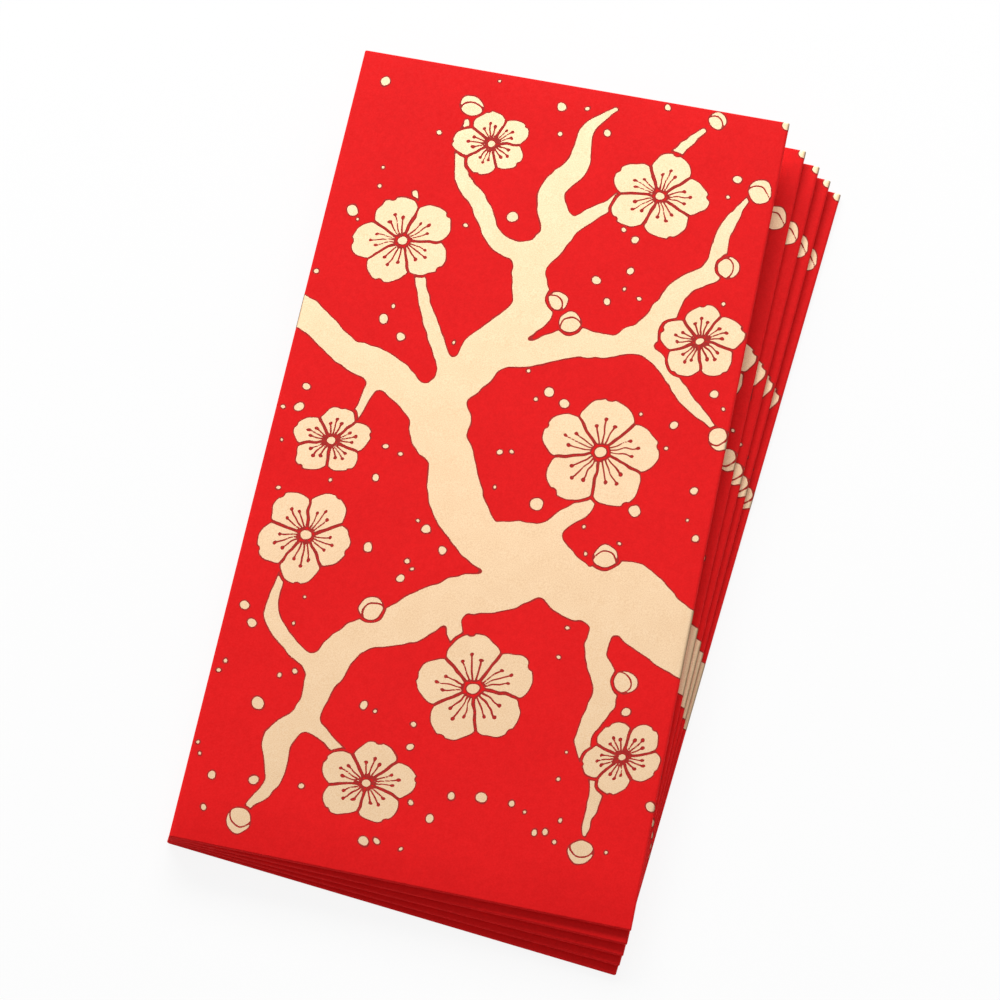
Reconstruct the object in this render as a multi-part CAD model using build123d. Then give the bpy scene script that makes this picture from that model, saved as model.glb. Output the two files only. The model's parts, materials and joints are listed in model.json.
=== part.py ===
from build123d import *
from math import atan2, degrees
import os

# A fan of five red paper envelopes, each folded from one die-cut sheet and glued behind.
# They lie on their backs: X runs across, Y up to the flap that opens, Z up. Lengths are in millimetres.

# The folded envelope
envelope_width = 90.0
envelope_height = 170.0
paper_thickness = 0.2
pocket_gap = 0.25
glue_thickness = 0.02

# Die-cut outlines of the back panels and the flaps
corner_relief = 1.0
seam_lap = 12.0
mouth_fall = 5.0
foot_rise = 3.0
back_corner_radius = 3.0
top_flap_depth = 36.0
top_flap_taper = 8.0
top_flap_corner_radius = 12.0
bottom_flap_depth = 20.0
bottom_flap_taper = 6.0
bottom_flap_corner_radius = 4.0

# Lines of glue
seam_glue_width = 7.0
glue_margin = 2.5

# The fan, front envelope first: each one's turn on the one below it and how far its top flap springs open, in degrees
fan_turns = (1.55, 1.25, 1.05, 1.0)
flap_springs = (6.4, 0.6, 0.6, 0.6, 0.0)
corner_slip_x = 0.25
corner_slip_y = 0.1
stack_clearance = 0.05

# Heights of the layers above the back of a closed envelope
flap_top = paper_thickness
right_back_bottom = flap_top + glue_thickness
left_back_bottom = right_back_bottom + paper_thickness + glue_thickness
front_bottom = left_back_bottom + paper_thickness + pocket_gap
envelope_thickness = front_bottom + paper_thickness

# A half-round fold reaches from the face of the front panel to the back of the layer that it turns under
left_fold_radius = (envelope_thickness - left_back_bottom) / 2
right_fold_radius = (envelope_thickness - right_back_bottom) / 2
end_fold_radius = envelope_thickness / 2

# Lines where the flat paper passes into the folds, and the ends of the back panels along their folds
left_line = left_fold_radius
right_line = envelope_width - right_fold_radius
bottom_line = end_fold_radius
top_line = envelope_height - end_fold_radius
foot_line = bottom_line + corner_relief
mouth_line = top_line - corner_relief
seam_line = envelope_width / 2
top_tip = top_line - top_flap_depth
bottom_tip = bottom_line + bottom_flap_depth
half_turn = 180


def flat_paper(outline, bottom):
    """A flat piece of the sheet, with its lower face at the given height."""
    return extrude(Pos(0, 0, bottom) * outline, paper_thickness)


def rounded(outline, corners, radius):
    """The outline with the given two corners rounded."""
    return fillet(corners[:2], radius) if radius else outline


def front_panel():
    """The printed face of the envelope, between its four folds."""
    corners = ((left_line, bottom_line), (right_line, bottom_line), (right_line, top_line), (left_line, top_line))
    return flat_paper(make_face(Polyline(*corners, close=True)), front_bottom)


def back_panel(fold_line, free_line, bottom):
    """A side of the sheet turned in behind, tapered at the mouth and the foot towards its free edge."""
    low_free = (free_line, foot_line + foot_rise)
    high_free = (free_line, mouth_line - mouth_fall)
    outline = make_face(Polyline((fold_line, foot_line), low_free, high_free, (fold_line, mouth_line), close=True))
    free_first = sorted(outline.vertices(), key=lambda corner: abs(corner.X - free_line))
    return flat_paper(rounded(outline, free_first, back_corner_radius), bottom)


def end_flap(fold_line, tip_line, taper, corner_radius):
    """An end of the sheet turned in behind, tapered to a tip with rounded corners."""
    left = left_line + corner_relief
    right = right_line - corner_relief
    tip = ((right - taper, tip_line), (left + taper, tip_line))
    outline = make_face(Polyline((left, fold_line), (right, fold_line), *tip, close=True))
    tip_first = sorted(outline.vertices(), key=lambda corner: abs(corner.Y - tip_line))
    return flat_paper(rounded(outline, tip_first, corner_radius), 0)


def fold(radius, length, sweep):
    """A fold of paper along +X from the origin, bent about that axis from above it out towards +Y."""
    middle = radius - paper_thickness / 2
    edge = Plane.XZ * Pos(length / 2, middle) * Rectangle(length, paper_thickness)
    return revolve(edge, -Axis.X, sweep)


def side_fold(radius, start, turn):
    """A fold between the front panel and a back panel, as long as the back panel's edge there."""
    return Pos(*start, envelope_thickness - radius) * Rot(0, 0, turn) * fold(radius, mouth_line - foot_line, half_turn)


def end_fold(start, turn, sweep):
    """A fold between the front panel and an end flap, as wide as the flap there."""
    width = right_line - left_line - 2 * corner_relief
    return Pos(*start, end_fold_radius) * Rot(0, 0, turn) * fold(end_fold_radius, width, sweep)


def block(low, high):
    """A box between two opposite corners."""
    size = [far - near for near, far in zip(low, high)]
    return Pos(*low) * Box(*size, align=Align.MIN)


def seam_glue():
    """The line of glue between the two back panels where they lap."""
    foot = foot_line + foot_rise + glue_margin
    mouth = mouth_line - mouth_fall - glue_margin
    half_width = seam_glue_width / 2
    top = left_back_bottom
    return block((seam_line - half_width, foot, top - glue_thickness), (seam_line + half_width, mouth, top))


def bottom_glue():
    """The line of glue on the bottom flap, thicker beside the seam where it has to reach the inner back panel."""
    inset = corner_relief + bottom_flap_taper + glue_margin
    low_y = foot_line + foot_rise + glue_margin
    high_y = bottom_line + bottom_flap_depth - glue_margin
    lap_edge = seam_line - seam_lap / 2
    under_left = block((left_line + inset, low_y, flap_top), (lap_edge, high_y, left_back_bottom))
    under_right = block((lap_edge, low_y, flap_top), (right_line - inset, high_y, right_back_bottom))
    return under_left + under_right


def flap_spring(number):
    """The turn about the top fold that stands an envelope's flap open."""
    return Pos(0, top_line, end_fold_radius) * Rot(flap_springs[number - 1], 0, 0) * Pos(0, -top_line, -end_fold_radius)


def envelope_pieces(number):
    """The pieces of one envelope, with its lower left corner at the origin and its back level."""
    flap = end_flap(top_line, top_tip, top_flap_taper, top_flap_corner_radius)
    flap_sweep = half_turn - flap_springs[number - 1]
    return {
        "front_panel": front_panel(),
        "left_back_panel": back_panel(left_line, seam_line + seam_lap / 2, left_back_bottom),
        "right_back_panel": back_panel(right_line, seam_line - seam_lap / 2, right_back_bottom),
        "bottom_flap": end_flap(bottom_line, bottom_tip, bottom_flap_taper, bottom_flap_corner_radius),
        "top_flap": flap_spring(number) * flap,
        "left_fold": side_fold(left_fold_radius, (left_line, foot_line), 90),
        "right_fold": side_fold(right_fold_radius, (right_line, mouth_line), -90),
        "bottom_fold": end_fold((right_line - corner_relief, bottom_line), half_turn, half_turn),
        "top_fold": end_fold((left_line + corner_relief, top_line), 0, flap_sweep),
        "seam_glue": seam_glue(),
        "bottom_glue": bottom_glue(),
    }


def tipped_up(number):
    """The tilt of an envelope that rests on its bottom fold and on the tip of its sprung flap."""
    tip = (flap_spring(number) * Pos(0, top_tip, 0)).position
    tilt = degrees(atan2(-tip.Z, tip.Y - bottom_line))
    return Pos(0, bottom_line, 0) * Rot(tilt, 0, 0) * Pos(0, -bottom_line, 0)


envelope_count = len(flap_springs)
numbers = range(1, envelope_count + 1)


def fan_place(number):
    """Where an envelope lies: the last one on the ground, the others each on the one below."""
    if number == envelope_count:
        seat = Rot(0, 0, -sum(fan_turns))
    else:
        step = Pos(corner_slip_x, corner_slip_y, envelope_thickness + stack_clearance)
        seat = fan_place(number + 1) * step * Rot(0, 0, fan_turns[number - 1])
    return seat * tipped_up(number)


fan = {}
for number in numbers:
    for name, piece in envelope_pieces(number).items():
        fan[f"{name}_{number}"] = fan_place(number) * piece
outline = Compound(list(fan.values())).bounding_box()
centred = Pos(-outline.center().X, -outline.center().Y, -outline.min.Z)

os.makedirs("parts", exist_ok=True)
for node, solid in fan.items():
    export_step(centred * solid, f"parts/{node}.step")

# The axes on which the envelopes turn in the fan and their flaps open
for number in numbers:
    corner = (centred * fan_place(number)).position
    hinge = centred * fan_place(number) * Pos(seam_line, top_line, end_fold_radius)
    print(f"envelope {number}: corner {corner}, middle of its top fold {hinge.position}, turned {hinge.orientation}")
print("fan", outline.size)
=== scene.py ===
import json
from math import pi, radians

import bmesh
import bpy
import numpy as np
from mathutils import Matrix, Quaternion, Vector


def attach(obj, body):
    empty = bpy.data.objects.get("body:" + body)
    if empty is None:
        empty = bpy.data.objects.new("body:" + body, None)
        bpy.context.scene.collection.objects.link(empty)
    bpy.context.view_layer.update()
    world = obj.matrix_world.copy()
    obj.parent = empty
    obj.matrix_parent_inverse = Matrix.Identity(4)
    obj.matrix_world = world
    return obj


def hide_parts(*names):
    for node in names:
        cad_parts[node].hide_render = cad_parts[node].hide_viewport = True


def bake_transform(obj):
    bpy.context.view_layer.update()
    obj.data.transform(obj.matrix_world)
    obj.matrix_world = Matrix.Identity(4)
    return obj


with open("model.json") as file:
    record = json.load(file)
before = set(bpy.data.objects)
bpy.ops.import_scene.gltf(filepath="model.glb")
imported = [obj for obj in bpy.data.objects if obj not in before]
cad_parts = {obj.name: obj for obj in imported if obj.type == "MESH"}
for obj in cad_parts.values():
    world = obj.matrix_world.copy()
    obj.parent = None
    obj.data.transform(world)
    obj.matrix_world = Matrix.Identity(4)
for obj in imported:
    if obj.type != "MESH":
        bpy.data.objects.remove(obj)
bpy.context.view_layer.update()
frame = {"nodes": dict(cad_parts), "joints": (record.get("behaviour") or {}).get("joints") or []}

# A fan of five red paper envelopes with a gold foil print of plum branches.
# Each piece is shaped in millimetres in its envelope's own frame: across from the lower left corner,
# up to the top fold, and out of the front from the back of the closed envelope.
millimetre = 0.001
envelope_count = 5

# The folded envelope
envelope_width = 90.0
envelope_height = 170.0
paper_thickness = 0.2
pocket_gap = 0.25
glue_thickness = 0.02
corner_relief = 1.0
top_flap_depth = 36.0
top_flap_taper = 8.0
top_flap_corner_radius = 12.0
# How far the flaps spring open, in degrees, from the front envelope to the lowest
flap_springs = (6.4, 0.6, 0.6, 0.6, 0.0)

# Heights of the layers and radii of the folds
right_back_bottom = paper_thickness + glue_thickness
left_back_bottom = right_back_bottom + paper_thickness + glue_thickness
front_bottom = left_back_bottom + paper_thickness + pocket_gap
envelope_thickness = front_bottom + paper_thickness
left_fold_radius = (envelope_thickness - left_back_bottom) / 2
right_fold_radius = (envelope_thickness - right_back_bottom) / 2
end_fold_radius = envelope_thickness / 2
left_line = left_fold_radius
right_line = envelope_width - right_fold_radius
top_line = envelope_height - end_fold_radius

# The front bends softly down to its folds over these widths at its sides and its ends
side_soft_edge = 0.6
end_soft_edge = 0.35
soft_edges = np.array((side_soft_edge, end_soft_edge))
sheet_size = np.array((envelope_width, envelope_height))
flat_left, flat_bottom = soft_edges
flat_right, flat_top = sheet_size - soft_edges
# The higher the power, the squarer the corners
corner_power = 2.5

# How finely the sheets are divided, which points are merged, and how many degrees make an edge sharp
panel_step = 10.0
arc_steps = 8
corner_steps = 8
flap_steps = 3
merge_distance = 1e-5
sharp_angle = 35.0

# The foil print and its rim, a dark layer round the foil that paints the shade of the edge the stamp presses
# into the card
print_cell = 0.25
foil_lift = 0.02
rim_lift = 0.008
foil_depth = 0.03
rim_width = 0.27
# How far off 0 the print's distances are kept, and how its flat cells are joined into larger faces
least_depth = 0.01
facet_width = 4.0
flat_angle = 2.0

# The brush: how far its edges wander, how closely its strokes are drawn and how round the corners are where
# they meet. Distances are drawn up to the margin round the paint, and the gap is left bare round blossoms.
wobble = 0.55
wobble_length = 7.0
tremor = 0.22
tremor_length = 1.6
paint_margin = 3.0
stroke_step = 0.3
join_radius = 1.6
bare_gap = 0.8

# Blossoms and buds
petal_count = 5
petal_gap = 0.7
stamen_width = 0.34
stamen_dot_radius = 0.42
petal_place_share = 0.57
petal_radius_share = 0.42
notch_place_share = 1.05
notch_radius_share = 0.10
heart_radius_share = 0.30
ring_radius_share = 0.16
eye_radius_share = 0.09
stamen_lean = 0.27
side_stamen_share = 0.52
middle_stamen_share = 0.62
bud_fold_share = 0.55

# Splashed dots
speckle_tries = 260
speckle_radii = (0.28, 1.2)
speckle_gap = 0.9
speckle_foot = 4.0
print_seed = 8

# Brush strokes: across, up and half their width, as shares of the envelope's width, height and width
trunk_shares = (
    (1.08, 0.325, 0.075), (0.96, 0.34, 0.07), (0.85, 0.375, 0.075), (0.75, 0.37, 0.06), (0.63, 0.405, 0.065),
    (0.52, 0.41, 0.055), (0.44, 0.455, 0.06), (0.41, 0.50, 0.05), (0.36, 0.535, 0.055), (0.37, 0.58, 0.045),
    (0.42, 0.62, 0.05), (0.46, 0.665, 0.04), (0.51, 0.705, 0.045), (0.49, 0.76, 0.035), (0.53, 0.80, 0.035),
    (0.50, 0.855, 0.025), (0.54, 0.895, 0.025), (0.55, 0.94, 0.015), (0.60, 0.98, 0.005),
)
low_limb_shares = (
    (0.67, 0.39, 0.045), (0.58, 0.355, 0.05), (0.48, 0.335, 0.04), (0.39, 0.295, 0.045), (0.30, 0.27, 0.035),
    (0.25, 0.225, 0.035), (0.23, 0.175, 0.025), (0.18, 0.135, 0.03), (0.19, 0.09, 0.02), (0.15, 0.05, 0.005),
)
left_limb_shares = (
    (0.39, 0.55, 0.04), (0.30, 0.565, 0.035), (0.22, 0.595, 0.04), (0.13, 0.605, 0.03), (0.04, 0.64, 0.035),
    (-0.06, 0.655, 0.035),
)
right_limb_shares = (
    (0.42, 0.635, 0.035), (0.53, 0.645, 0.03), (0.61, 0.67, 0.035), (0.71, 0.675, 0.025), (0.79, 0.71, 0.03),
    (0.83, 0.76, 0.02), (0.89, 0.79, 0.02), (0.90, 0.84, 0.015), (0.94, 0.895, 0.005),
)
twig_shares = (
    ((0.74, 0.69, 0.02), (0.83, 0.66, 0.015), (0.89, 0.625, 0.015), (0.97, 0.595, 0.005)),
    ((0.25, 0.22, 0.02), (0.16, 0.24, 0.015), (0.10, 0.275, 0.015), (0.10, 0.33, 0.005)),
    ((0.50, 0.765, 0.025), (0.40, 0.78, 0.02), (0.34, 0.825, 0.02), (0.28, 0.86, 0.015), (0.27, 0.93, 0.005)),
    ((0.83, 0.365, 0.03), (0.81, 0.305, 0.025), (0.85, 0.26, 0.025), (0.82, 0.20, 0.015),
     (0.87, 0.155, 0.015), (0.86, 0.095, 0.005)),
    ((0.63, 0.40, 0.03), (0.67, 0.445, 0.02), (0.72, 0.475, 0.02), (0.73, 0.53, 0.005)),
    ((0.38, 0.59, 0.02), (0.30, 0.66, 0.015), (0.24, 0.73, 0.01), (0.19, 0.825, 0.005)),
    ((0.53, 0.805, 0.02), (0.62, 0.845, 0.015), (0.71, 0.895, 0.015), (0.81, 0.97, 0.005)),
    ((0.48, 0.335, 0.02), (0.51, 0.29, 0.015), (0.56, 0.245, 0.01)),
    ((0.22, 0.165, 0.02), (0.30, 0.14, 0.01), (0.37, 0.12, 0.01)),
    ((0.22, 0.595, 0.02), (0.19, 0.555, 0.01), (0.16, 0.505, 0.01)),
)
stroke_shares = (trunk_shares, low_limb_shares, left_limb_shares, right_limb_shares, *twig_shares)
# Blossoms: across, up and radius, as above, then how round they look and their share of a full turn
blossom_shares = (
    (0.73, 0.54, 0.135, 0.96, 0.05), (0.19, 0.76, 0.12, 0.90, 0.12), (0.74, 0.875, 0.115, 0.93, 0.02),
    (0.13, 0.375, 0.115, 0.88, 0.17), (0.57, 0.235, 0.13, 0.95, 0.09), (0.39, 0.105, 0.105, 0.86, 0.04),
    (0.91, 0.19, 0.09, 0.85, 0.15), (0.34, 0.905, 0.09, 0.92, 0.11), (0.90, 0.70, 0.095, 0.92, 0.07),
    (0.14, 0.495, 0.09, 0.85, 0.06),
)
# Buds: across, up and radius, as above, then the way that they point, as a share of a full turn
bud_shares = (
    (0.965, 0.905, 0.028, 0.2), (0.985, 0.585, 0.026, 0.9), (0.27, 0.95, 0.024, 0.27),
    (0.86, 0.075, 0.026, 0.75), (0.14, 0.035, 0.026, 0.7), (0.835, 0.985, 0.02, 0.15),
    (0.925, 0.80, 0.023, 0.05), (0.60, 0.695, 0.024, 0.3), (0.885, 0.275, 0.022, 0.05),
    (0.31, 0.305, 0.025, 0.35), (0.565, 0.72, 0.022, 0.1), (0.79, 0.417, 0.025, 0.25),
)
# The dot on the upper right corner
corner_dot_shares = (0.995, 0.998, 0.010)

# Noise: how rich it is, and the spans over which its values set colours and other numbers
plain_detail = 2.0
rich_detail = 3.0
colour_span = (0.35, 0.65)
value_span = (0.3, 0.7)
untinted = (1.0, 1.0, 1.0)

# Red paper
paper_colours = ((0.82, 0.0052, 0.0064), (0.85, 0.0060, 0.0072))
paper_cloud_length = 11.0
paper_mottle_length = 1.3
paper_mottle_tints = ((0.95, 0.84, 0.84), untinted)
paper_tooth_length = 0.33
paper_tooth_depth = 0.016
paper_tooth_tints = ((0.95, 0.85, 0.85), untinted)
paper_fibre_length = 0.9
paper_fibre_depth = 0.012
paper_fibre_stretch = (1.0, 0.22, 1.0)
paper_wear_colour = (0.88, 0.02, 0.02)
paper_wear_shares = (0.05, 0.30)
paper_roughness = (0.88, 0.74)
paper_gloss = 0.2

# Gold foil, and the painted shade that darkens it towards brown where it bends round the soft edges
foil_colours = ((0.935, 0.715, 0.485), (0.955, 0.74, 0.51))
foil_cloud_length = 5.0
foil_tooth_length = 0.21
foil_tooth_depth = 0.006
foil_tooth_tints = ((0.91, 0.87, 0.81), untinted)
# Painted shade: how dark the foil turns over the soft edges, and over which shares of the way round
foil_painted_shade_tints = (untinted, (0.32, 0.24, 0.15))
foil_painted_shade_span = (0.35, 0.75)
foil_roughness = (0.72, 0.60)
foil_coat = 0.25
foil_coat_roughness = 0.45

# The rim, coloured dark as painted shade
rim_shade_colours = ((0.36, 0.010, 0.006), (0.46, 0.015, 0.010))
rim_cloud_length = 0.6
rim_roughness = (0.65, 0.80)
rim_gloss = 0.3

# Glue
glue_colours = ((0.72, 0.62, 0.45), (0.86, 0.80, 0.68))
glue_spread_length = 1.5
glue_spread_depth = 0.01
glue_spread_stretch = (1.0, 0.3, 1.0)
glue_roughness = (0.30, 0.55)

# The camera of the photograph, in millimetres and degrees
camera_place = (51.314, -178.361, 510.528)
camera_aim = (-2.760, -2.693, 8.675)
camera_roll = -5.414
camera_lens = 97.277
sensor_width = 36.0

# The floor, the low wall round it, the lamp and the room, in metres and watts
floor_reach = 30.0
wall_height = 8.0
floor_colour = (0.85, 0.85, 0.85, 1.0)
floor_roughness = 0.9
floor_white_share = 0.88
white = (1.0, 1.0, 1.0, 1.0)
lamp_place = (-0.35, 1.31, 0.75)
lamp_width = 1.62
lamp_height = 0.62
lamp_power = 39.0
room_strength = 0.39


# Places and meshes
def envelope_frame(number):
    """The place of an envelope's own frame in the fan, read from its front panel and its crease."""
    crease = next(joint for joint in frame["joints"] if joint["name"] == f"flap_crease_{number}")
    across = Vector(crease["axis"])
    if across.x < 0:
        across.negate()
    panel = frame["nodes"][f"front_panel_{number}"].data
    face = max(panel.polygons, key=lambda polygon: polygon.area if polygon.normal.z > 0 else 0)
    out = face.normal.copy()
    up = out.cross(across)
    middle = ((left_line + right_line) / 2, envelope_height / 2, front_bottom + paper_thickness / 2)
    origin = Vector()
    for axis, offset in zip((across, up, out), middle):
        reaches = [vertex.co.dot(axis) for vertex in panel.vertices]
        origin += axis * ((min(reaches) + max(reaches)) / 2 - offset * millimetre)
    turn = Matrix((across, up, out)).transposed().to_4x4()
    return Matrix.Translation(origin) @ turn @ Matrix.Scale(millimetre, 4)


def add_object(name, data):
    """A new object in the scene."""
    item = bpy.data.objects.new(name, data)
    bpy.context.scene.collection.objects.link(item)
    return item


def place_mesh(name, mesh, place, material):
    """An object for a mesh in an envelope's own frame, smooth apart from its sharp edges."""
    mesh.transform(place)
    mesh.shade_smooth()
    mesh.set_sharp_from_angle(angle=radians(sharp_angle))
    mesh.materials.append(material)
    return add_object(name, mesh)


def make_sheet(name, points, faces, place, material):
    """A piece of paper from points in an envelope's own frame, with doubled points merged."""
    mesh = bpy.data.meshes.new(name)
    mesh.from_pydata([tuple(point) for point in points], [], faces)
    shape = bmesh.new()
    shape.from_mesh(mesh)
    bmesh.ops.remove_doubles(shape, verts=shape.verts, dist=merge_distance)
    bmesh.ops.recalc_face_normals(shape, faces=shape.faces)
    shape.to_mesh(mesh)
    shape.free()
    mark_wear(mesh)
    return place_mesh(name, mesh, place, material)


def mark_wear(mesh):
    """Note how much each point of the paper is rubbed: most where the folds stand out furthest."""
    fold_middle = envelope_thickness - right_fold_radius
    heights = np.array([vertex.co.z for vertex in mesh.vertices])
    wear = np.clip(1 - np.abs(heights - fold_middle) / right_fold_radius, 0, 1)
    mesh.attributes.new("wear", "FLOAT", "POINT").data.foreach_set("value", wear)


def grid_faces(rows, columns, first=0):
    """Quads between neighbouring rows of a grid of points."""
    faces = []
    for row in range(rows - 1):
        for column in range(columns - 1):
            start = first + row * columns + column
            faces.append((start, start + 1, start + columns + 1, start + columns))
    return faces


def grid_outline(rows, columns):
    """The points round a grid, in order."""
    outline = list(range(columns))
    outline += [row * columns + columns - 1 for row in range(1, rows)]
    outline += [rows * columns - 1 - column for column in range(1, columns)]
    outline += [row * columns for row in range(rows - 2, 0, -1)]
    return outline


def ring_faces(rings, count):
    """Quads between neighbouring closed rings of points."""
    faces = []
    for ring in range(rings - 1):
        start = ring * count
        for spot in range(count):
            after = (spot + 1) % count
            faces.append((start + spot, start + after, start + count + after, start + count + spot))
    return faces


# Sheets of paper
def fold_radius(outward):
    """The radius of the fold in each outward direction of the front."""
    across, up = outward[:, 0], outward[:, 1]
    sides = np.where(across < 0, left_fold_radius, right_fold_radius)
    return across ** 2 * sides + up ** 2 * end_fold_radius


def corner_reach(offsets):
    """How far offsets, as shares of the soft edges, reach out of the flat front, with squarish corners."""
    return (np.abs(offsets) ** corner_power).sum(axis=-1) ** (1 / corner_power)


def edge_points(core, outward, turn, depth):
    """Points of the front's rounded edge, turned from its face towards its back, at a depth in the paper."""
    # The half next to the face is soft and oval, the half next to the back is as round as the fold
    radius = fold_radius(outward)[:, None]
    bend = np.sin(turn)[:, None]
    upper = (soft_edges - depth) * bend
    lower = soft_edges - radius + (radius - depth) * bend
    reach = np.where(turn[:, None] <= pi / 2, upper, lower)
    height = envelope_thickness - radius[:, 0] + (radius[:, 0] - depth) * np.cos(turn)
    return np.column_stack([core + outward / corner_reach(outward)[:, None] * reach, height])


def front_loop():
    """The loop where the flat front passes into its soft edges, and the directions outward from it."""
    corners = (
        (flat_left, flat_bottom),
        (flat_right, flat_bottom),
        (flat_right, flat_top),
        (flat_left, flat_top),
    )
    core, outward = [], []
    for number, corner in enumerate(corners):
        following = np.array(corners[(number + 1) % len(corners)])
        side_angle = (number - 1) * pi / 2
        for share in np.linspace(0, 1, corner_steps, endpoint=False):
            angle = side_angle - (1 - share) * pi / 2
            core.append(corner)
            outward.append((np.cos(angle), np.sin(angle)))
        count = round(np.abs(following - corner).sum() / panel_step)
        for share in np.linspace(0, 1, count + 1):
            core.append(corner + share * (following - corner))
            outward.append((np.cos(side_angle), np.sin(side_angle)))
    return np.array(core), np.array(outward)


def front_sheet(number, place, material):
    """The front of an envelope with its left, right and bottom folds, in one sheet of paper."""
    core, outward = front_loop()
    # At the top the sheet ends halfway round the fold, where the sheet of the flap begins
    last_turn = pi - pi / 2 * np.clip(outward[:, 1], 0, None) ** 2
    shares = np.linspace(0, 1, 2 * arc_steps + 1)
    outside = [edge_points(core, outward, share * last_turn, 0) for share in shares]
    inside = [edge_points(core, outward, share * last_turn, paper_thickness) for share in shares[::-1]]
    rings = outside + inside
    points = np.concatenate(rings)
    faces = ring_faces(len(rings), len(core))
    columns = round((flat_right - flat_left) / panel_step) + 1
    rows = round((flat_top - flat_bottom) / panel_step) + 1
    across = np.linspace(flat_left, flat_right, columns)
    up = np.linspace(flat_bottom, flat_top, rows)
    for height in (envelope_thickness, front_bottom):
        faces += grid_faces(rows, columns, len(points))
        points = np.concatenate([points, [(u, v, height) for v in up for u in across]])
    piece = make_sheet(f"front_sheet_{number}", points, faces, place, material)
    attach(piece, f"envelope_{number}")
    folded = [f"{node}_{number}" for node in ("front_panel", "left_fold", "right_fold", "bottom_fold")]
    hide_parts(*folded)


def flap_left_edge(reach):
    """How far across a flap's left edge lies at a distance from its fold."""
    start = left_line + corner_relief
    slant = np.hypot(top_flap_taper, top_flap_depth)
    lean = top_flap_taper / top_flap_depth
    centre_reach = top_flap_depth - top_flap_corner_radius
    centre = start + lean * centre_reach + top_flap_corner_radius * slant / top_flap_depth
    if reach < centre_reach + top_flap_corner_radius * top_flap_taper / slant:
        return start + lean * reach
    return centre - np.sqrt(max(top_flap_corner_radius ** 2 - (reach - centre_reach) ** 2, 0))


def flap_rows(spring):
    """Rows of a flap from its fold to its tip: how far from the fold, and how far the paper has turned."""
    closed = pi - spring
    straight_part = top_flap_depth - top_flap_corner_radius
    straight_rows = np.linspace(0, straight_part, flap_steps + 1)[1:]
    round_turns = np.linspace(0, pi / 2, 2 * arc_steps + 1)[1:]
    round_rows = straight_part + top_flap_corner_radius * np.sin(round_turns)
    rows = [(0, turn) for turn in np.linspace(pi / 2, closed, arc_steps + 1)]
    rows += [(reach, closed) for reach in np.concatenate([straight_rows, round_rows])]
    return rows


def flap_sheet(number, place, material):
    """The top flap of an envelope with the lower half of its fold, drawn a little sprung open."""
    rows = flap_rows(radians(flap_springs[number - 1]))
    columns = 2 * arc_steps + 1
    points = []
    for depth in (0, paper_thickness):
        radius = end_fold_radius - depth
        for reach, turn in rows:
            up = top_line + radius * np.sin(turn) + reach * np.cos(turn)
            height = end_fold_radius + radius * np.cos(turn) - reach * np.sin(turn)
            left = flap_left_edge(reach)
            right = left_line + right_line - left
            points += [(across, up, height) for across in np.linspace(left, right, columns)]
    skin = len(rows) * columns
    outer = grid_faces(len(rows), columns)
    inner = grid_faces(len(rows), columns, skin)
    outline = grid_outline(len(rows), columns)
    following = outline[1:] + outline[:1]
    walls = [(spot, after, after + skin, spot + skin) for spot, after in zip(outline, following)]
    piece = make_sheet(f"flap_sheet_{number}", points, outer + inner + walls, place, material)
    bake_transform(piece)
    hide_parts(f"top_flap_{number}", f"top_fold_{number}")


# The print
def edge_reach(points):
    """The nearest points of the flat front, and how far off points are, as shares of the soft edges."""
    core = np.clip(points, soft_edges, sheet_size - soft_edges)
    offsets = (points - core) / soft_edges
    return core, offsets, corner_reach(offsets)


def front_skin(points, lift):
    """Points of the flat print laid on the front and round its soft edges, a little above the paper."""
    core, offsets, reach = edge_reach(points)
    length = np.hypot(*offsets.T)[:, None]
    outward = np.where(length > 0, offsets / np.where(length > 0, length, 1), (0, 1))
    return edge_points(core, outward, np.minimum(reach, 1) * pi / 2, -lift)


def soft_noise(points, length, seed):
    """Smooth noise from -1 to 1 that changes over the given length."""
    scaled = points / length
    cell = np.floor(scaled).astype(int)
    share = scaled - cell
    share = share * share * (3 - 2 * share)
    low = cell.min(axis=(0, 1))
    size = cell.max(axis=(0, 1)) - low + 2
    table = np.random.default_rng(seed).uniform(-1, 1, size)
    i, j = np.moveaxis(cell - low, -1, 0)
    s, t = np.moveaxis(share, -1, 0)
    below = table[i, j] * (1 - s) + table[i + 1, j] * s
    above = table[i, j + 1] * (1 - s) + table[i + 1, j + 1] * s
    return below * (1 - t) + above * t


def print_lines(length, soft_edge):
    """Where the lines of the print's grid cross a side of the front, closer together in its soft edges."""
    edge = np.linspace(0, soft_edge, arc_steps, endpoint=False)
    cells = round((length - 2 * soft_edge) / print_cell)
    middle = np.linspace(soft_edge, length - soft_edge, cells + 1)
    return np.concatenate([edge, middle, length - edge[::-1]])


print_columns = print_lines(envelope_width, side_soft_edge)
print_rows = print_lines(envelope_height, end_soft_edge)


def print_grid():
    """A grid of points over the front, and the same points pushed about as a brush's edge wanders."""
    flat = np.stack(np.meshgrid(print_columns, print_rows, indexing="ij"), axis=-1)
    pushed = flat.copy()
    for axis in (0, 1):
        pushed[:, :, axis] += wobble * soft_noise(flat, wobble_length, print_seed + axis)
        pushed[:, :, axis] += tremor * soft_noise(flat, tremor_length, print_seed + 2 + axis)
    return flat, pushed


def window(centre, reach):
    """The part of the print's grid within a distance of a point."""
    area = []
    for lines, middle in zip((print_columns, print_rows), centre):
        area.append(slice(*np.searchsorted(lines, (middle - reach, middle + reach))))
    return tuple(area)


def paint_dot(field, grid, centre, radius):
    """Add a round dot to a field of distances that are below 0 in the paint."""
    area = window(centre, radius + paint_margin)
    field[area] = np.minimum(field[area], np.hypot(*np.moveaxis(grid[area] - centre, -1, 0)) - radius)


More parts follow.
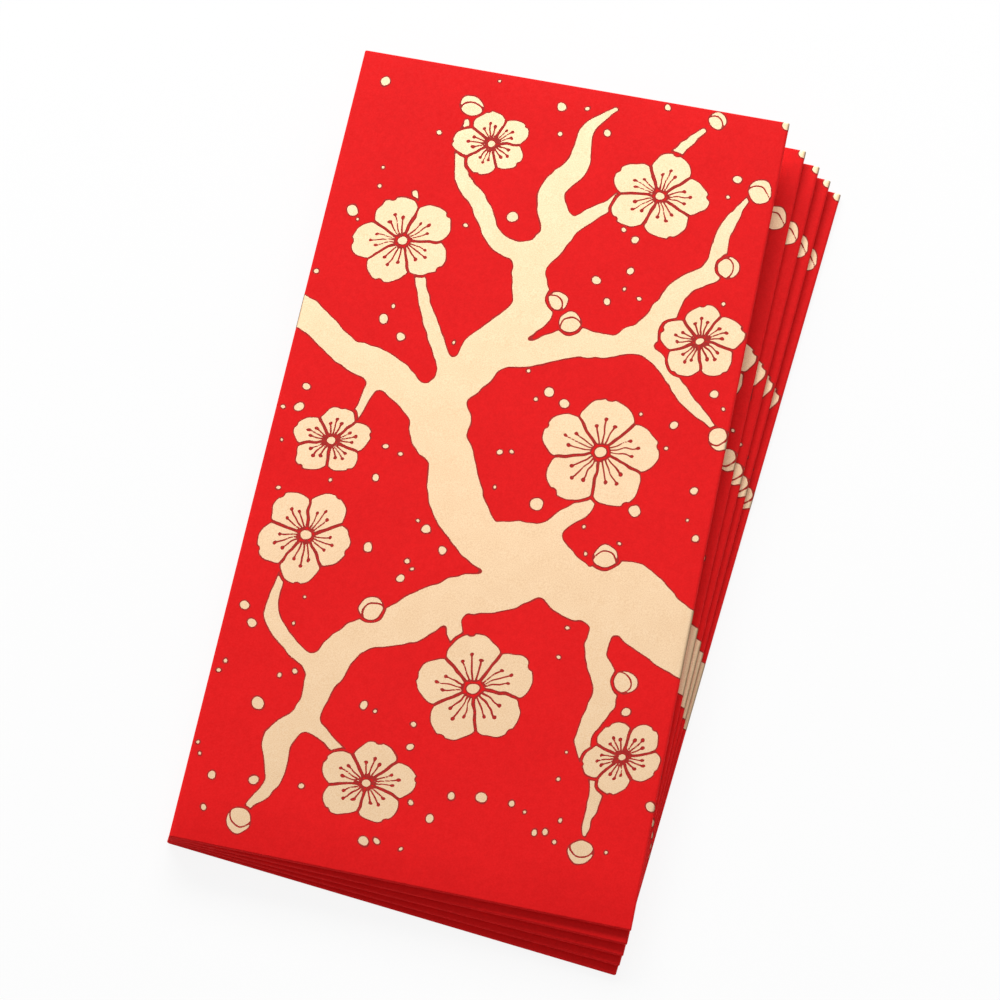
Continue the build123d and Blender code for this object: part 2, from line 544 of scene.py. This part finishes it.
def stroke_path(knots):
    """Closely spaced points of a smooth curve through knots, a Catmull-Rom spline."""
    ends = np.concatenate([[2 * knots[0] - knots[1]], knots, [2 * knots[-1] - knots[-2]]])
    path = []
    for before, start, end, after in zip(ends, ends[1:], ends[2:], ends[3:]):
        count = max(round(np.hypot(*(end - start)[:2]) / stroke_step), 1)
        for share in np.linspace(0, 1, count, endpoint=False):
            bend = (2 * before - 5 * start + 4 * end - after) * share
            twist = (3 * (start - end) + after - before) * share ** 2
            path.append(start + share / 2 * (end - before + bend + twist))
    return np.array(path)


def paint_stroke(field, grid, knots):
    """Add a brush stroke through knots that hold half its width, with round corners where it meets others."""
    stroke = np.full(field.shape, paint_margin)
    for across, up, half_width in stroke_path(knots):
        paint_dot(stroke, grid, (across, up), half_width)
    # Within the join radius of both strokes, the corner between them fills up to a circle
    nearness = np.clip(join_radius - np.stack([field, stroke]), 0, None)
    field[:] = np.maximum(np.minimum(field, stroke), join_radius) - np.hypot(*nearness)


def paint_bud(petals, hulls, grid, centre, radius, turn):
    """Add a round bud with the fold of a petal left bare across it, and its plain outline."""
    bud = np.full(petals.shape, paint_margin)
    fold = np.full(petals.shape, paint_margin)
    paint_dot(bud, grid, centre, radius)
    paint_dot(hulls, grid, centre, radius)
    aside = np.array((np.cos(turn), np.sin(turn))) * radius * bud_fold_share
    paint_dot(fold, grid, centre - aside, radius)
    petals[:] = np.minimum(petals, np.maximum(bud, stamen_width / 2 - np.abs(fold)))


def paint_blossom(petals, hulls, grid, centre, radius, roundness, turn):
    """Add a blossom, with gaps between its petals and stamens left bare, and its plain outline."""
    area = window(centre, radius + paint_margin)
    facing = np.array(((np.cos(turn), -np.sin(turn)), (np.sin(turn), np.cos(turn))))
    x, y = np.moveaxis((grid[area] - centre) / radius @ facing, -1, 0)
    y = y / roundness
    away = np.hypot(x, y)
    sector = 2 * pi / petal_count
    angle = np.arctan2(y, x)
    angle = angle - sector * np.round(angle / sector)
    ahead, beside = away * np.cos(angle), away * np.sin(angle)
    petal = np.hypot(ahead - petal_place_share, beside) - petal_radius_share
    hulls[area] = np.minimum(hulls[area], np.minimum(petal, away - heart_radius_share) * radius)
    notch = notch_radius_share - np.hypot(ahead - notch_place_share, beside)
    gap = petal_gap / 2 / radius - away * np.sin(sector / 2 - np.abs(angle))
    shape = np.maximum.reduce([petal, notch, gap, ring_radius_share - away])
    stamens = ((-stamen_lean, side_stamen_share), (0, middle_stamen_share), (stamen_lean, side_stamen_share))
    for lean, length in stamens:
        ahead, beside = away * np.cos(angle - lean), np.abs(away * np.sin(angle - lean))
        line = np.maximum.reduce([beside - stamen_width / 2 / radius, ahead - length, -ahead])
        dot = np.hypot(ahead - length, beside) - stamen_dot_radius / radius
        shape = np.maximum(shape, -np.minimum(line, dot))
    shape = np.minimum(shape, away - eye_radius_share)
    petals[area] = np.minimum(petals[area], shape * radius)


def paint_speckle(field, hulls, grid):
    """Splash dots of many sizes over the bare paper."""
    draw = np.random.default_rng(print_seed)
    low, high = speckle_radii
    for spot in draw.uniform((0, speckle_foot), sheet_size, (speckle_tries, 2)):
        radius = low + (high - low) * draw.uniform() ** 2
        cell = (np.searchsorted(print_columns, spot[0]), np.searchsorted(print_rows, spot[1]))
        if min(field[cell], hulls[cell]) > radius + speckle_gap:
            paint_dot(field, grid, spot, radius)


def print_field():
    """The foil print as distances from its edges, below 0 in the foil, over a grid of points."""
    flat, grid = print_grid()
    far = np.full(flat.shape[:2], paint_margin)
    strokes, petals, hulls = far.copy(), far.copy(), far.copy()
    for knots in stroke_shares:
        paint_stroke(strokes, grid, np.array(knots) * (*sheet_size, envelope_width))
    for across, up, radius, roundness, turn in blossom_shares:
        centre = sheet_size * (across, up)
        paint_blossom(petals, hulls, grid, centre, radius * envelope_width, roundness, turn * 2 * pi)
    for across, up, radius, turn in bud_shares:
        paint_bud(petals, hulls, grid, sheet_size * (across, up), radius * envelope_width, turn * 2 * pi)
    across, up, radius = corner_dot_shares
    paint_dot(petals, grid, sheet_size * (across, up), radius * envelope_width)
    field = np.minimum(np.maximum(strokes, bare_gap - hulls), petals)
    paint_speckle(field, hulls, grid)
    return flat, field


def filled_print(flat, field):
    """Points and faces that fill the print where its field is below 0, cut off at the front's outline."""
    field = np.maximum(field, end_soft_edge * (edge_reach(flat)[2] - 1))
    field = np.where(field < 0, np.minimum(field, -least_depth), np.maximum(field, least_depth))
    inside = field < 0
    points, index, faces = [], {}, []

    def corner_point(spot):
        """The number of a point of the grid."""
        if spot not in index:
            index[spot] = len(points)
            points.append(flat[spot])
        return index[spot]

    def edge_point(spot, after):
        """The number of the point where the print's edge crosses between two points of the grid."""
        key = (min(spot, after), max(spot, after))
        if key not in index:
            share = field[spot] / (field[spot] - field[after])
            index[key] = len(points)
            points.append(flat[spot] + share * (flat[after] - flat[spot]))
        return index[key]

    filled = inside[:-1, :-1] | inside[1:, :-1] | inside[1:, 1:] | inside[:-1, 1:]
    for i, j in zip(*(axis.tolist() for axis in np.nonzero(filled))):
        ring = ((i, j), (i + 1, j), (i + 1, j + 1), (i, j + 1))
        face = []
        for spot, after in zip(ring, ring[1:] + ring[:1]):
            if inside[spot]:
                face.append(corner_point(spot))
            if inside[spot] != inside[after]:
                face.append(edge_point(spot, after))
        faces.append(face)
    return np.array(points), faces


def join_facets(shape):
    """Join the faces on the flat front within each square of a checkerboard that material numbers mark."""
    for face in shape.faces:
        across, up = np.array(face.calc_center_median()[:2]) // facet_width
        face.material_index = int(across % 2 + 2 * (up % 2))
    level = []
    for corner in shape.verts:
        if flat_left < corner.co.x < flat_right and flat_bottom < corner.co.y < flat_top:
            level.append(corner)
    level_set = set(level)
    inner = [edge for edge in shape.edges if level_set.issuperset(edge.verts)]
    limit = radians(flat_angle)
    shape.normal_update()
    bmesh.ops.dissolve_limit(shape, angle_limit=limit, verts=level, edges=inner, delimit={"MATERIAL"})
    for face in shape.faces:
        face.material_index = 0


def print_shape(flat, field, lift):
    """A thin layer of the print on the front of an envelope, as a closed mesh in its own frame."""
    points, faces = filled_print(flat, field)
    shape = bmesh.new()
    corners = [shape.verts.new((*point, 0)) for point in points]
    for face in faces:
        shape.faces.new([corners[spot] for spot in face])
    join_facets(shape)
    points = np.array([corner.co[:2] for corner in shape.verts])
    # The share of the way round the soft edge, which the foil's painted shade reads
    bend = shape.verts.layers.float.new("bend")
    for corner, spot, share in zip(shape.verts, front_skin(points, lift), edge_reach(points)[2]):
        corner.co = spot
        corner[bend] = share
    shape.normal_update()
    bmesh.ops.solidify(shape, geom=shape.faces[:], thickness=foil_depth)
    mesh = bpy.data.meshes.new("print")
    shape.to_mesh(mesh)
    shape.free()
    return mesh


def lay_print(name, mesh, number, place, material):
    """A copy of a layer of the print on one envelope."""
    piece = place_mesh(f"{name}_{number}", mesh.copy(), place, material)
    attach(piece, f"envelope_{number}")


# Materials
def set_inputs(tree, node, inputs):
    """Set a node's inputs, linked where a value is another node's output."""
    for name, value in inputs.items():
        if isinstance(value, bpy.types.NodeSocket):
            tree.links.new(value, node.inputs[name])
        else:
            node.inputs[name].default_value = value


def add_node(tree, kind, inputs, **settings):
    """The outputs of a new node with its settings and inputs."""
    node = tree.nodes.new(kind)
    for name, value in settings.items():
        setattr(node, name, value)
    set_inputs(tree, node, inputs)
    return node.outputs


def new_material(name):
    """An empty material, its nodes and its shader."""
    material = bpy.data.materials.new(name)
    material.use_nodes = True
    return material, material.node_tree, material.node_tree.nodes["Principled BSDF"]


def noise(tree, length, detail=plain_detail, stretch=None):
    """Noise with grains of the given length in millimetres, drawn out along the axes with a low stretch."""
    place = add_node(tree, "ShaderNodeTexCoord", {})["Object"]
    if stretch:
        place = add_node(tree, "ShaderNodeMapping", {"Vector": place, "Scale": stretch})["Vector"]
    inputs = {"Vector": place, "Scale": 1 / (length * millimetre), "Detail": detail}
    return add_node(tree, "ShaderNodeTexNoise", inputs)["Fac"]


def vertex_value(tree, name):
    """A value that the points of a mesh hold."""
    return add_node(tree, "ShaderNodeAttribute", {}, attribute_name=name)["Fac"]


def calculate(tree, operation, first, second):
    """The result of an operation on two values."""
    return add_node(tree, "ShaderNodeMath", {0: first, 1: second}, operation=operation)["Value"]


def rescale(tree, value, ends):
    """A noise brought to the range between two ends."""
    (first, last), (low, high) = value_span, ends
    inputs = {"Value": value, "From Min": first, "From Max": last, "To Min": low, "To Max": high}
    return add_node(tree, "ShaderNodeMapRange", inputs)["Result"]


def between_colours(tree, share, colours, span=colour_span):
    """A colour that runs from the first to the second of a pair as a share rises over a span."""
    ramp = tree.nodes.new("ShaderNodeValToRGB")
    set_inputs(tree, ramp, {"Fac": share})
    for element, place, colour in zip(ramp.color_ramp.elements, span, colours):
        element.position = place
        element.color = (*colour, 1)
    return ramp.outputs["Color"]


def blend_colours(tree, share, first, second, how="MIX"):
    """Two colours mixed, or one of them multiplied by the other."""
    inputs = {"Fac": share, "Color1": first, "Color2": second}
    return add_node(tree, "ShaderNodeMixRGB", inputs, blend_type=how)["Color"]


def tinted(tree, colour, share, tints, span=colour_span):
    """A colour multiplied by a tint that runs from the first to the second of a pair."""
    return blend_colours(tree, 1.0, colour, between_colours(tree, share, tints, span), "MULTIPLY")


def bump(tree, height, depth, below=None):
    """Bumps of the given depth in millimetres, on top of others if there are any below."""
    inputs = {"Height": height, "Distance": depth * millimetre, "Strength": 1.0}
    if below:
        inputs["Normal"] = below
    return add_node(tree, "ShaderNodeBump", inputs)["Normal"]


def paper_material():
    """Red card, dyed through, with a fine tooth, short fibres and folds rubbed a little paler."""
    material, tree, shader = new_material("red_paper")
    mottle = noise(tree, paper_mottle_length, rich_detail)
    tooth = noise(tree, paper_tooth_length)
    fibres = noise(tree, paper_fibre_length, stretch=paper_fibre_stretch)
    colour = between_colours(tree, noise(tree, paper_cloud_length), paper_colours)
    colour = tinted(tree, colour, mottle, paper_mottle_tints)
    colour = tinted(tree, colour, tooth, paper_tooth_tints)
    rubbed = calculate(tree, "MULTIPLY", vertex_value(tree, "wear"), rescale(tree, mottle, paper_wear_shares))
    set_inputs(tree, shader, {
        "Base Color": blend_colours(tree, rubbed, colour, (*paper_wear_colour, 1)),
        "Roughness": rescale(tree, tooth, paper_roughness),
        "Normal": bump(tree, fibres, paper_fibre_depth, bump(tree, tooth, paper_tooth_depth)),
        "Specular IOR Level": paper_gloss,
    })
    return material


def foil_material():
    """Pale gold foil stamped on the card, whose tooth shows through it, darkened by painted shade where it
    bends.
    """
    material, tree, shader = new_material("gold_foil")
    tooth = noise(tree, foil_tooth_length)
    colour = between_colours(tree, noise(tree, foil_cloud_length, rich_detail), foil_colours)
    colour = tinted(tree, colour, tooth, foil_tooth_tints)
    set_inputs(tree, shader, {
        # Painted shade: the foil's colour is multiplied towards dark brown as it turns round the soft edge
        "Base Color": tinted(tree, colour, vertex_value(tree, "bend"), foil_painted_shade_tints, foil_painted_shade_span),
        "Roughness": rescale(tree, tooth, foil_roughness),
        "Normal": bump(tree, tooth, foil_tooth_depth),
        "Metallic": 1.0,
        "Coat Weight": foil_coat,
        "Coat Roughness": foil_coat_roughness,
    })
    return material


def rim_shade_material():
    """A dark red-brown colour for the rim round the foil, painted shade of the edge that the stamp presses
    into the card.
    """
    material, tree, shader = new_material("pressed_edge_shade")
    set_inputs(tree, shader, {
        # Painted shade: the rim's dark red-brown base colour
        "Base Color": between_colours(tree, noise(tree, rim_cloud_length), rim_shade_colours),
        "Roughness": rescale(tree, noise(tree, paper_tooth_length), rim_roughness),
        "Specular IOR Level": rim_gloss,
    })
    return material


def glue_material():
    """A dried film of cream glue, uneven as it was rolled on."""
    material, tree, shader = new_material("glue")
    spread = noise(tree, glue_spread_length, rich_detail, glue_spread_stretch)
    set_inputs(tree, shader, {
        "Base Color": between_colours(tree, spread, glue_colours),
        "Roughness": rescale(tree, spread, glue_roughness),
        "Normal": bump(tree, spread, glue_spread_depth),
    })
    return material


def seen_share(tree, share):
    """The share where a ray comes from the camera or from gloss or glass, and otherwise 0."""
    path = add_node(tree, "ShaderNodeLightPath", {})
    rays = path["Is Camera Ray"]
    for name in ("Is Glossy Ray", "Is Transmission Ray"):
        rays = calculate(tree, "MAXIMUM", rays, path[name])
    return calculate(tree, "MULTIPLY", rays, share)


def floor_material():
    """A pale floor that looks almost white where nothing shades it."""
    material, tree, shader = new_material("floor")
    set_inputs(tree, shader, {"Base Color": floor_colour, "Roughness": floor_roughness})
    glow = add_node(tree, "ShaderNodeEmission", {"Color": white, "Strength": 1.0})["Emission"]
    layers = {0: seen_share(tree, floor_white_share), 1: shader.outputs["BSDF"], 2: glow}
    surface = add_node(tree, "ShaderNodeMixShader", layers)["Shader"]
    set_inputs(tree, tree.nodes["Material Output"], {"Surface": surface})
    return material


# Camera, floor and lights
def make_camera():
    """A camera where the photograph was taken from."""
    data = bpy.data.cameras.new("camera")
    data.lens = camera_lens
    data.sensor_width = sensor_width
    data.clip_start = millimetre
    camera = add_object("camera", data)
    place = Vector(camera_place) * millimetre
    look = Vector(camera_aim) * millimetre - place
    facing = look.to_track_quat("-Z", "Y") @ Quaternion((0, 0, 1), radians(camera_roll))
    camera.matrix_world = Matrix.Translation(place) @ facing.to_matrix().to_4x4()
    bpy.context.scene.camera = camera


def make_floor():
    """A wide floor with a low wall far off on each side."""
    mesh = bpy.data.meshes.new("floor")
    sides = ((-1, -1), (1, -1), (1, 1), (-1, 1))
    corners = [(x * floor_reach, y * floor_reach, height) for height in (0, wall_height) for x, y in sides]
    walls = [(0, 1, 5, 4), (1, 2, 6, 5), (2, 3, 7, 6), (3, 0, 4, 7)]
    mesh.from_pydata(corners, [], [(0, 1, 2, 3)] + walls)
    mesh.materials.append(floor_material())
    floor = add_object("floor", mesh)


def make_lights():
    """A soft lamp above the top end of the fan, and an even white room."""
    world = bpy.data.worlds.new("room")
    world.use_nodes = True
    background = world.node_tree.nodes["Background"]
    set_inputs(world.node_tree, background, {"Color": white, "Strength": room_strength})
    bpy.context.scene.world = world
    light = bpy.data.lights.new("key", "AREA")
    light.shape = "RECTANGLE"
    light.size = lamp_width
    light.size_y = lamp_height
    light.energy = lamp_power
    lamp = add_object("key", light)
    lamp.location = lamp_place
    lamp.rotation_euler = (-Vector(lamp_place)).to_track_quat("-Z", "Y").to_euler()


# The scene and the five envelopes
bpy.context.scene.view_settings.view_transform = "Standard"
make_camera()
make_floor()
make_lights()
paper = paper_material()
foil = foil_material()
rim = rim_shade_material()
glue = glue_material()
flat, field = print_field()
foil_mesh = print_shape(flat, field, foil_lift)
# The rim layer lies under the foil and reaches a little past it, coloured dark as painted shade
rim_mesh = print_shape(flat, field - rim_width, rim_lift)
kept_nodes = {
    "left_back_panel": paper,
    "right_back_panel": paper,
    "bottom_flap": paper,
    "seam_glue": glue,
    "bottom_glue": glue,
}
for number in range(1, envelope_count + 1):
    place = envelope_frame(number)
    front_sheet(number, place, paper)
    flap_sheet(number, place, paper)
    lay_print("foil_print", foil_mesh, number, place, foil)
    lay_print("pressed_edge_shade", rim_mesh, number, place, rim)
    for node, material in kept_nodes.items():
        slots = frame["nodes"][f"{node}_{number}"].data.materials
        slots.clear()
        slots.append(material)
